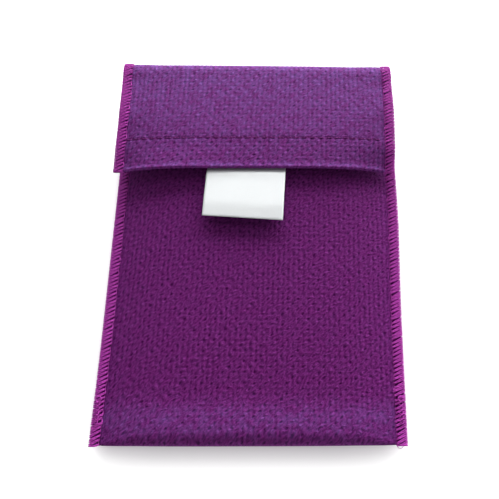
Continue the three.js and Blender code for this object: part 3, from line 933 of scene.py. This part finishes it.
class CASE_OT_flap(bpy.types.Operator):
    """Builds the top fold and the flap as one cloth, with its hem turned under and stitched"""

    bl_idname = "cooling_case.flap"
    bl_label = "Flap"

    def execute(self, context):
        settings = context.scene.cooling_case
        turn = settings.cloth + GAP / 2
        x = np.linspace(-CLOTH_X, CLOTH_X, 253)[:, None]
        middle = settings.bead / 2 - turn
        turn_y = HEM_Y + HEM_NOSE
        row_y = HEM_Y + FLAP_HEM
        near_row = np.linspace(row_y + ROW_MARGIN, row_y - ROW_MARGIN, 15)
        above_row = np.linspace(FOLD_Y, near_row[0], 31)[1:]
        below_row = np.linspace(near_row[-1], turn_y, 33)[1:-1]
        flap_y = np.concatenate([above_row, near_row[1:], below_row])
        under_y = np.linspace(turn_y, row_y + HEM_ALLOWANCE, 16)[1:]
        furrow = FURROW * bell(flap_y, row_y, FURROW_WIDTH)
        roll = settings.bead * (1 - smoothstep(flap_y, turn_y + ROLL_START, turn_y + ROLL_STOP))
        outer = surface(
            x,
            *fold_line(back_z(x), flap_z(x, FOLD_Y)),
            (flap_y, flap_z(x, flap_y) - furrow + roll),
            arc(turn_y, flap_z(x, turn_y) + middle, HEM_NOSE, turn + settings.bead / 2, 90, 270, 11),
            (under_y, flap_z(x, under_y) - 2 * turn),
        )
        uv = cloth_position(outer, settings.repeat)
        lattice = np.cos(2 * np.pi * uv[..., 0]) * np.cos(2 * np.pi * uv[..., 1])
        rib = 0.5 - 0.5 * np.cos(4 * np.pi * uv[..., 0])
        relief = FLAP_RELIEF * settings.relief * (rib - smoothstep(lattice, PIT_START, PIT_STOP))
        normal = inward(outer)
        outer_face = outer - normal * relief[..., None] + normal * pressed(outer[..., :1])
        shape = settled(shell(outer_face, outer + normal * settings.cloth, uv), settle_flap, settings)
        # Painted sheen that grows from the hem to the top fold, and a painted highlight along the hem's roll
        painted_sheen = lerp(HEM_PAINTED_SHEEN, FOLD_PAINTED_SHEEN, (outer[..., 1] - HEM_Y) / (FOLD_TIP_Y - HEM_Y))
        painted_sheen = painted_sheen + EDGE_PAINTED_HIGHLIGHT * bell(outer[..., 1], EDGE_HIGHLIGHT_Y, EDGE_HIGHLIGHT_LENGTH)
        cloth = cover_material(settings)
        piece = add_piece("flap_weave", shape, cloth, "cover_cloth", "flap_cloth", "top_fold", painted_sheen=painted_sheen)
        bend(piece)

        def sunk(px, py):
            return flap_z(px, py) - HEM_ROW_SINK

        row = hem_row(row_y, sunk, HEM_THREAD, settings, settings.seed + HEM_SEED)
        row = settled(row, settle_flap, settings)
        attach(add_piece("hem_stitches", row, sewing_material(settings), "overlock_thread"), "flap")
        return {"FINISHED"}


def bend(piece):
    """Bakes a piece's placement into its mesh."""
    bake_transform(piece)


class CASE_OT_seams(bpy.types.Operator):
    """Builds the overlocked side seams, the thread left over on them and the flap's overlocked edges"""

    bl_idname = "cooling_case.seams"
    bl_label = "Seams"

    def execute(self, context):
        settings = context.scene.cooling_case
        thread = overlock_material(settings)
        side_y = np.array([FOLD_Y - GAP, BOTTOM_Y])
        side = np.stack([side_y, np.full(2, SEAM_TOP_Z)], -1)
        fold = fold_line(SEAM_LOW_Z, flap_z(EDGE_X, FOLD_Y))
        flap_y = np.linspace(FOLD_Y, HEM_Y, 41)[1:]
        flap = np.concatenate([np.stack(part, -1) for part in (*fold, (flap_y, flap_z(EDGE_X, flap_y)))])
        for number, (name, sign) in enumerate(SIDES):
            seed = settings.seed + SIDE_SEED * number
            inner_x, outer_x = sign * SEAM_X, sign * EDGE_X
            tail_x = outer_x - sign * TAIL_INSET
            parts = [
                overlock(side, SEAM_TOP_Z - SEAM_LOW_Z, inner_x, outer_x, settings, seed),
                chain_tail(tail_x, SEAM_TOP_Z + settings.thread + TAIL_THREAD),
            ]
            if sign > 0:
                parts.append(corner_loop(tail_x - TAIL_THREAD, SEAM_LOW_Z))
            shape = settled(joined(parts), settle_cover, settings)
            seam = add_piece(f"side_threads_{name}", shape, thread, "overlock_thread", f"side_seam_{name}")
            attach(seam, "cover")
            depth = FLAP_EDGE_CLOTHS * settings.cloth
            shape = overlock(flap, depth, inner_x, outer_x, settings, seed + FLAP_SEED)
            shape = settled(shape, settle_flap, settings)
            nodes = [f"flap_edge_{name}", f"fold_edge_{name}"]
            bend(add_piece(f"flap_threads_{name}", shape, thread, "overlock_thread", *nodes))
        return {"FINISHED"}


class CASE_OT_label(bpy.types.Operator):
    """Builds the bare satin label: a ribbon folded in half and sewn into the hem askew"""

    bl_idname = "cooling_case.label"
    bl_label = "Label"

    def execute(self, context):
        settings = context.scene.cooling_case
        half = settings.ribbon + GAP / 2
        askew = np.tan(settings.label_turn)
        top_y = high("label_tail", "y")
        bend_y = high("label_tab", "y")
        width = high("label_tail", "x") - low("label_tail", "x")
        centre = (high("label_tail", "x") + low("label_tail", "x")) / 2
        across = np.linspace(-width / 2, width / 2, 41)[:, None]
        end_y = (low("label_tab", "y") + askew * width / 2) - across * askew + half
        hem_lift = STACK - 2 * (settings.cloth + GAP / 2) - GAP - half

        def middle(y):
            """Height of the ribbon's middle: up out of the hem, then curling down to its end."""
            out = smoothstep(y, bend_y + FOOT_ABOVE, bend_y - FOOT_BELOW)
            along = np.clip((bend_y - y) / (bend_y - end_y), 0, 1)
            rise = hem_lift + settings.spring * lerp(along, out, FOOT_SHARE)
            curl = settings.curl * smoothstep(y, end_y + CURL_ABOVE, end_y - CURL_BELOW)
            return front_z(centre + across, y) + rise - curl

        front_y = lerp(top_y, end_y, np.linspace(0, 1, 45))
        outer = doubled(centre + across, front_y, middle, half, 9)
        inner = outer + settings.ribbon * inward(outer)
        uv = cloth_position(outer, MM)
        shift = np.array([-askew, 0, 0])
        placed = [grid + shift * np.maximum(HEM_Y - grid[..., 1:2], 0) for grid in (outer, inner)]
        satin = plain_material(
            "Label Satin",
            settings.label_colour,
            across=1.6,
            along=3.2,
            relief=0.05 * MM,
            roughness=0.42,
            sheen_weight=0.1,
        )
        shape = shell(*placed, uv)
        piece = add_piece("label_ribbon", shape, satin, "label_satin", "label_tab", "label_tail")
        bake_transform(piece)
        return {"FINISHED"}


class CASE_OT_tapes(bpy.types.Operator):
    """Builds the touch tapes: a loop tape on the front panel and a hook tape under the flap"""

    bl_idname = "cooling_case.tapes"
    bl_label = "Tapes"

    def execute(self, context):
        settings = context.scene.cooling_case
        random = np.random.default_rng(settings.seed + TAPE_SEED)
        half = high("hook_tape", "x")
        x = np.linspace(-half, half, 91)[:, None]
        y = np.linspace(low("hook_tape", "y"), high("hook_tape", "y"), 13)
        cloth = np.array(settings.cloth_colour)
        dull = {"specular_ior_level": 0.1, "specular_tint": (0.6, 0.3, 0.6, 1.0)}
        loop_look = plain_material(
            "Loop Tape", cloth * LOOP_TONE, across=2.0, along=2.0, relief=0.1 * MM, roughness=0.9, **dull
        )
        hook_look = plain_material(
            "Hook Tape", cloth * HOOK_TONE, across=1.5, along=1.5, relief=0.06 * MM, roughness=0.5, **dull
        )

        def loop_face(px, py):
            return front_z(px, py) + GAP + TAPE_BASE

        def hook_face(px, py):
            return flap_z(px, py) - 2 * settings.cloth - 2 * GAP - TAPE_BASE

        tapes = (
            ("loop_tape", loop_look, loop_face, -TAPE_BASE, settle_cover, "cover", "cover_cloth"),
            ("hook_tape", hook_look, hook_face, TAPE_BASE, settle_flap, "flap", "flap_cloth"),
        )
        for node, look, face, depth, settle_tape, body, backing in tapes:
            grid = surface(x, (y, face(x, y)))
            uv = cloth_position(grid, MM)
            shape = settled(shell(grid, grid + depth * UP, uv), settle_tape, settings)
            strip = add_piece(f"{node}_base", shape, look, node, node)
            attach(strip, body)
        pile = settled(self.pile(random, loop_face), settle_cover, settings)
        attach(add_piece("loop_pile", pile, loop_look, "loop_tape"), "cover")
        hooks = settled(self.hooks(hook_face), settle_flap, settings)
        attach(add_piece("tape_hooks", hooks, hook_look, "hook_tape"), "flap")
        return {"FINISHED"}

    def pile(self, random, height):
        """Loops of the pile: small arches that stand on the tape at random places and turns."""
        size = (PILE_LOOPS, 1)
        px = random.uniform(-PILE_SPREAD, PILE_SPREAD, size) * high("loop_tape", "x")
        py = random.uniform(low("loop_tape", "y") + PILE_MARGIN, high("loop_tape", "y") - PILE_MARGIN, size)
        turn = random.uniform(0, np.pi, size)
        angle = np.linspace(0, np.pi, 5)
        reach = PILE_REACH * np.cos(angle)
        path = [px + reach * np.cos(turn), py + reach * np.sin(turn)]
        z = height(px, py) - PILE_SINK + (PILE_RISE + PILE_SINK) * np.sin(angle)
        aslant = np.array([0.3, 0.2, 1.0])  # along no part of a loop
        return tubes(np.stack([*path, z], -1), PILE_THREAD, 4, aslant)

    def hooks(self, height):
        """Hooks in even rows: a stem that stands out of the tape and bends over at its tip."""
        places = np.meshgrid(
            np.linspace(-HOOK_SPREAD, HOOK_SPREAD, HOOK_COLUMNS) * high("hook_tape", "x"),
            np.linspace(low("hook_tape", "y") + HOOK_MARGIN, high("hook_tape", "y") - HOOK_MARGIN, HOOK_ROWS),
        )
        px, py = (place.reshape(-1, 1) for place in places)
        way = np.where(np.arange(len(px)) % 2, 1, -1)[:, None]
        path = np.broadcast_arrays(px, py + HOOK_REACH * way, height(px, py) - HOOK_DROP)
        sideways = np.array([1.0, 0, 0])
        return tubes(np.stack(path, -1), HOOK_THREAD, 5, sideways)


def ceiling_z(x):
    """Inside of the pouch's front wall: a crown between its seams."""
    return lerp(POUCH_SEAM_Z + GAP / 2, CEILING_Z, crown(x, POUCH_PANEL_X))


def floor_z(x):
    """Inside of the pouch's back wall, the same crown turned down."""
    return lerp(POUCH_SEAM_Z - GAP / 2, FLOOR_Z, crown(x, POUCH_PANEL_X))


def swell(x, y):
    """How far a quilted cell is filled: full along its middle, none on the quilting and at its ends."""
    share = x / CELL_WIDTH + CELLS / 2
    ends = np.clip(np.minimum(QUILT_TOP_Y - y, y - QUILT_BOTTOM_Y) / QUILT_RISE, 0, 1)
    pillow = 1 - np.abs(2 * (share % 1) - 1) ** PILLOW_POWER
    return np.where((share > 0) & (share < CELLS), pillow * np.sqrt(ends), 0)


def front_wall_z(x, y):
    """Outside of the pouch's front wall."""
    return ceiling_z(x) + WALL + PILLOW * swell(x, y)


def back_wall_z(x, y):
    """Outside of the pouch's back wall."""
    return floor_z(x) - WALL - PILLOW * swell(x, y)


class CASE_OT_pouch(bpy.types.Operator):
    """Builds the inner pouch: quilted cloth, lining, overlocked sides and bound mouth"""

    bl_idname = "cooling_case.pouch"
    bl_label = "Pouch"

    def execute(self, context):
        settings = context.scene.cooling_case
        cloth = plain_material(
            "Pouch Cloth",
            settings.pouch_colour,
            across=1.3,
            along=1.3,
            relief=0.08 * MM,
            roughness=0.8,
            sheen_weight=0.15,
        )
        thread = overlock_material(settings)
        x = stations(POUCH_X, 129)[:, None]
        y = np.linspace(POUCH_MOUTH_Y, QUILT_BOTTOM_Y, 111)
        radius = (ceiling_z(x) - floor_z(x)) / 2 + WALL
        middle = (ceiling_z(x) + floor_z(x)) / 2
        outer = surface(
            x,
            (y, front_wall_z(x, y)),
            arc(POUCH_BOTTOM_Y + radius, middle, radius, radius, 90, 270, 17),
            (y[::-1], back_wall_z(x, y[::-1])),
        )
        inner = outer + POUCH_CLOTH * inward(outer)
        uv = cloth_position(outer, MM)
        piece = add_piece("quilted_cloth", shell(outer, inner, uv), cloth, "pouch_cloth", "pouch_cloth")
        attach(piece, "pouch")
        self.lining(settings)
        self.quilting(settings, thread)
        self.edges(settings, thread)
        return {"FINISHED"}

    def lining(self, settings):
        """Lining: the inside of the walls, folded at the bottom."""
        cloth = plain_material(
            "Pouch Lining", settings.lining_colour, across=1.8, along=1.8, relief=0.05 * MM, roughness=0.6
        )
        x = stations(POUCH_X, 81)[:, None]
        radius = (ceiling_z(x) - floor_z(x)) / 2 + LINING
        middle = (ceiling_z(x) + floor_z(x)) / 2
        centre_y = POUCH_BOTTOM_Y + radius + WALL - LINING
        y = lerp(POUCH_MOUTH_Y, centre_y, np.linspace(0, 1, 61))
        outer = doubled(x, y, lambda _: middle, radius, 13)
        uv = cloth_position(outer, MM)
        shape = shell(outer, outer + LINING * inward(outer), uv)
        piece = add_piece("lining_cloth", shape, cloth, "pouch_lining", "pouch_lining")
        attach(piece, "pouch")

    def quilting(self, settings, thread):
        """Quilting stitches: a row between cells and along both ends of them, on either wall."""
        columns = [CELL_WIDTH * (k - CELLS / 2) for k in range(CELLS + 1)]
        rows = [[(x, QUILT_BOTTOM_Y), (x, QUILT_TOP_Y)] for x in columns]
        rows += [[(columns[0], y), (columns[-1], y)] for y in (QUILT_BOTTOM_Y, QUILT_TOP_Y)]
        parts = []
        for number, ends in enumerate(rows):
            for direction, height in ((1, front_wall_z), (-1, back_wall_z)):
                seed = settings.seed + QUILT_SEED + number
                parts.append(lockstitch(ends, height, QUILT_THREAD, QUILT_STITCH, seed, direction))
        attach(add_piece("quilting_stitches", joined(parts), thread, "overlock_thread"), "pouch")

    def edges(self, settings, thread):
        """Overlocked sides and a rounded binding along both lips of the mouth."""
        top = high("pouch_seam_right", "z") - REACH
        line = np.array([[POUCH_MOUTH_Y, top], [POUCH_BOTTOM_Y, top]])
        depth = top - low("pouch_seam_right", "z") - REACH
        for number, (name, sign) in enumerate(SIDES):
            seed = settings.seed + POUCH_SEED + number
            shape = overlock(line, depth, sign * POUCH_PANEL_X, sign * POUCH_EDGE_X, settings, seed)
            node = f"pouch_seam_{name}"
            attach(add_piece(f"pouch_threads_{name}", shape, thread, "overlock_thread", node), "pouch")
        x = stations(POUCH_PANEL_X, 121)
        y = np.full_like(x, POUCH_MOUTH_Y + GAP + WALL / 2)
        for side, z in (("front", ceiling_z(x) + WALL / 2), ("back", floor_z(x) - WALL / 2)):
            shape = tubes(np.stack([x, y, z], -1)[None], WALL / 2, 14, UP)
            node = f"pouch_mouth_{side}"
            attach(add_piece(f"mouth_binding_{side}", shape, thread, "overlock_thread", node), "pouch")


class CASE_OT_crystals(bpy.types.Operator):
    """Builds the dry cooling crystals, a thin bed of grains in each cell of the pouch"""

    bl_idname = "cooling_case.crystals"
    bl_label = "Crystals"

    def execute(self, context):
        settings = context.scene.cooling_case
        random = np.random.default_rng(settings.seed + CRYSTAL_SEED)
        look = plain_material(
            "Crystals", CRYSTAL_COLOUR, across=0.9, along=1.1, relief=0.15 * MM, roughness=0.25
        )
        for wall in ("front", "back"):
            for cell in range(1, CELLS + 1):
                self.bed(f"{wall}_crystals_{cell}", wall == "front", random, look)
        return {"FINISHED"}

    def bed(self, node, front, random, look):
        """Bed of grains: a slab between lining and cloth, whose faces are roughened at random."""
        x = np.linspace(low(node, "x"), high(node, "x"), 21)[:, None]
        y = np.linspace(high(node, "y"), low(node, "y"), 101)
        grain = random.uniform(0, GRAIN, (len(x), len(y)))
        fill = np.maximum(PILLOW * swell(x, y) - GAP, LEAST_BED) - grain
        if front:
            bottom = ceiling_z(x) + LINING + GAP
            top = bottom + fill
        else:
            top = floor_z(x) - LINING - GAP
            bottom = top - fill
        upper, lower = surface(x, (y, top)), surface(x, (y, bottom))
        shape = shell(upper, lower, cloth_position(upper, MM))
        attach(add_piece(f"{node}_bed", shape, look, "crystals", node), "pouch")


# Stage
FLOOR_HALF = 3.0
FLOOR_DROP = 0.1 * MM  # below the case, so that no two faces coincide
# The floor glows, and so it also lights the case from below
FLOOR_GLOW = 0.76
PAINTED_SHADOW_REACH = 12 * MM  # how far from the case the floor's glow is dimmed as a painted shadow
PAINTED_SHADOW_POWER = 2.0
SENSOR_WIDTH = 36  # millimetres, as Blender counts it
FOCAL_PIXELS = 452.5  # focal length, on a picture this many pixels wide
PICTURE_PIXELS = 499
CAMERA_PLACE = np.array([3.0, -61.0, 220.0]) * MM
CAMERA_TURN = np.radians([14.44, 1.31, 1.21])


class CASE_OT_stage(bpy.types.Operator):
    """Builds the white floor, the soft light from the far side and the camera"""

    bl_idname = "cooling_case.stage"
    bl_label = "Stage"

    def execute(self, context):
        settings = context.scene.cooling_case
        scene = context.scene
        scene.view_settings.view_transform = "Standard"
        self.floor()
        self.world(scene, settings)
        self.lamps(scene, settings)
        self.camera(scene)
        return {"FINISHED"}

    def floor(self):
        """Pale floor that glows white and also lights the case from below, its glow dimmed near the case as a
        painted shadow.
        """
        corners = [(x * FLOOR_HALF, y * FLOOR_HALF) for x, y in ((-1, -1), (1, -1), (1, 1), (-1, 1))]
        mesh = bpy.data.meshes.new("floor")
        mesh.from_pydata([(x, y, -FLOOR_DROP) for x, y in corners], [], [(0, 1, 2, 3)])
        material = bpy.data.materials.new("Floor")
        material.use_nodes = True
        graph = Graph(material.node_tree)
        shader = material.node_tree.nodes["Principled BSDF"]
        shader.inputs["Base Color"].default_value = (0.85, 0.85, 0.85, 1)
        shader.inputs["Roughness"].default_value = 0.9
        shader.inputs["Emission Color"].default_value = (1, 1, 1, 1)
        # Painted shadow: ambient occlusion near the case dims the floor's glow
        near = graph.node("ShaderNodeAmbientOcclusion", {"Distance": PAINTED_SHADOW_REACH}, samples=16).outputs["AO"]
        glow = graph.math("MULTIPLY", graph.math("POWER", near, PAINTED_SHADOW_POWER), FLOOR_GLOW)
        graph.feed(shader.inputs["Emission Strength"], glow)
        mesh.materials.append(material)
        floor = bpy.data.objects.new("floor", mesh)
        bpy.context.scene.collection.objects.link(floor)

    def world(self, scene, settings):
        """Even light from all round, white to the camera."""
        world = bpy.data.worlds.new("Studio")
        world.use_nodes = True
        scene.world = world
        graph = Graph(world.node_tree)
        background = world.node_tree.nodes["Background"]
        path = graph.node("ShaderNodeLightPath").outputs
        strength = graph.math("MULTIPLY_ADD", path["Is Camera Ray"], 1 - settings.sky, settings.sky)
        graph.feed(background.inputs["Color"], (1, 1, 1, 1))
        graph.feed(background.inputs["Strength"], strength)

    def lamps(self, scene, settings):
        """Two wide soft lamps beyond the top fold, low and high, and a faint low one in front."""
        lamps = {
            "far lamp": ((0.5, 2.85, 0.75), (5.0, 1.3), settings.key_light),
            "high lamp": ((0.3, 2.1, 2.15), (4.0, 1.4), settings.high_light),
            "near lamp": ((0.0, -2.7, 0.8), (3.0, 0.6), settings.fill_light),
        }
        for name, (location, size, power) in lamps.items():
            light = bpy.data.lights.new(name, "AREA")
            light.shape = "RECTANGLE"
            light.size, light.size_y = size
            light.energy = power
            lamp = bpy.data.objects.new(name, light)
            lamp.location = location
            lamp.rotation_euler = (-lamp.location).to_track_quat("-Z", "Y").to_euler()
            scene.collection.objects.link(lamp)

    def camera(self, scene):
        """Camera above the bottom edge, looking down and a little towards the top fold."""
        data = bpy.data.cameras.new("camera")
        data.sensor_width = SENSOR_WIDTH
        data.lens = SENSOR_WIDTH * FOCAL_PIXELS / PICTURE_PIXELS
        camera = bpy.data.objects.new("camera", data)
        camera.location = CAMERA_PLACE
        camera.rotation_euler = CAMERA_TURN
        scene.collection.objects.link(camera)
        scene.camera = camera


class CASE_PT_panel(bpy.types.Panel):
    """Lists the pieces of the case"""

    bl_label = "Cooling Case"
    bl_idname = "CASE_PT_panel"
    bl_space_type = "VIEW_3D"
    bl_region_type = "UI"
    bl_category = "Cooling Case"

    def draw(self, context):
        for operator in OPERATORS:
            self.layout.operator(operator.bl_idname)
        for name in CaseSettings.__annotations__:
            self.layout.prop(context.scene.cooling_case, name)


OPERATORS = (
    CASE_OT_cover,
    CASE_OT_flap,
    CASE_OT_seams,
    CASE_OT_label,
    CASE_OT_tapes,
    CASE_OT_pouch,
    CASE_OT_crystals,
    CASE_OT_stage,
)
CLASSES = (CaseSettings, *OPERATORS, CASE_PT_panel)


def register():
    """Registers the classes and hangs the settings on the scene."""
    for item in CLASSES:
        bpy.utils.register_class(item)
    bpy.types.Scene.cooling_case = PointerProperty(type=CaseSettings)


def unregister():
    """Takes the settings and the classes away again."""
    del bpy.types.Scene.cooling_case
    for item in reversed(CLASSES):
        bpy.utils.unregister_class(item)


def main():
    """Builds every piece in order."""
    register()
    bpy.ops.cooling_case.cover()
    bpy.ops.cooling_case.flap()
    bpy.ops.cooling_case.seams()
    bpy.ops.cooling_case.label()
    bpy.ops.cooling_case.tapes()
    bpy.ops.cooling_case.pouch()
    bpy.ops.cooling_case.crystals()
    bpy.ops.cooling_case.stage()


if __name__ == "__main__":
    main()
